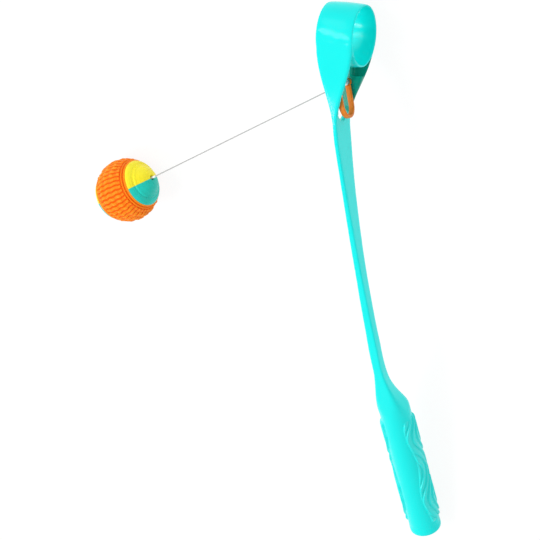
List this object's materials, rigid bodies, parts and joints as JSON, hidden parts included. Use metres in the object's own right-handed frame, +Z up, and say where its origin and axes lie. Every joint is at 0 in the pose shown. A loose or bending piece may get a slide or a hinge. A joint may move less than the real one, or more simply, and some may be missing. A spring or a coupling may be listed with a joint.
{
  "type": "dog ball launcher stick",
  "caption": "Curved ball launcher stick with a ring head, waved grip pads and a swinging line bail, and a stepped rubber-tyred ball tied to it by a thin cord.",
  "frame": {"origin": "centre of the ring that the ball seats in", "axes": "+X along the ring's axis, +Y along the stick towards the head, +Z up, with the launcher lying on its back"},
  "size_m": [0.3244, 0.6251, 0.0915],
  "materials": {
    "teal_plastic": "glossy moulded plastic",
    "teal_grip": "satin soft pads",
    "steel": "plain",
    "orange_plastic": "satin moulded plastic",
    "cord": "thin braided cord",
    "white_plastic": "matt",
    "yellow_plastic": "satin",
    "teal_core": "satin",
    "orange_rubber": "matt rubber with a barred tread"
  },
  "bodies": {
    "stick": {"launcher_stick": "teal_plastic", "handle_end_cap": "teal_plastic", "grip_pad_left": "teal_grip", "grip_pad_right": "teal_grip", "bail_pin": "steel", "cord_collar": "steel", "tether_cord": "cord", "cord_sleeve": "white_plastic", "stop_bead": "white_plastic"},
    "bail": {"line_bail": "orange_plastic"},
    "ball": {"ball_tyre": "orange_rubber", "ball_core_yellow": "yellow_plastic", "ball_core_teal": "teal_core", "ball_washer": "steel"}
  },
  "joints": [
    {"name": "bail_swing", "type": "hinge", "parent": "stick", "child": "bail", "pos_m": [0, -0.04171, 0.02422], "axis": [0, 0.4695, 0.8829], "range_deg": [-50, 65]},
    {"name": "ball_spin", "type": "hinge", "parent": "stick", "child": "ball", "pos_m": [-0.27, -0.208, 0], "axis": [0.8564, 0.5138, 0.0514], "continuous": true}
  ]
}
